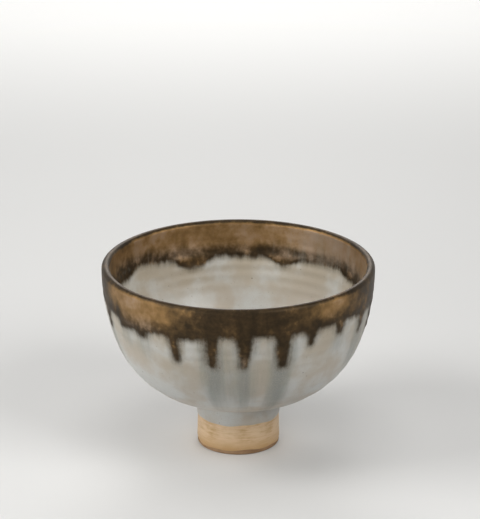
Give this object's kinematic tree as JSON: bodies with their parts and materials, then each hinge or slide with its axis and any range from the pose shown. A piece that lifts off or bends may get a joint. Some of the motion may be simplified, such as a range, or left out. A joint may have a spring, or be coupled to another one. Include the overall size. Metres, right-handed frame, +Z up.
{
  "type": "footed ceramic bowl",
  "caption": "Deep round ceramic bowl on a narrow hollow foot, pale glaze inside and out, with a brown glaze band over the lip that runs down the side.",
  "frame": {"origin": "centre of the resting edge under the foot", "axes": "+Z up along the bowl's axis of turning, -Y is the side seen in the picture"},
  "size_m": [0.1402, 0.1402, 0.0985],
  "materials": {
    "clay": "bare fired stoneware, dry and slightly gritty",
    "luting_slip": "fired slip, hidden under the glaze",
    "burnished_slip": "thin tan slip with a burnished satin sheen",
    "pale_glaze": "satin grey-white glaze with fine pits and specks",
    "brown_glaze": "dark brown glaze with a dull bronze sheen, lighter where thin"
  },
  "bodies": {
    "root": {"bowl_body": "clay", "foot_ring": "clay", "luting_slip": "luting_slip", "foot_slip": "burnished_slip", "outer_glaze": "pale_glaze", "inner_glaze": "pale_glaze", "rim_band": "brown_glaze", "outer_runs": "brown_glaze", "inner_runs": "brown_glaze"}
  },
  "joints": []
}
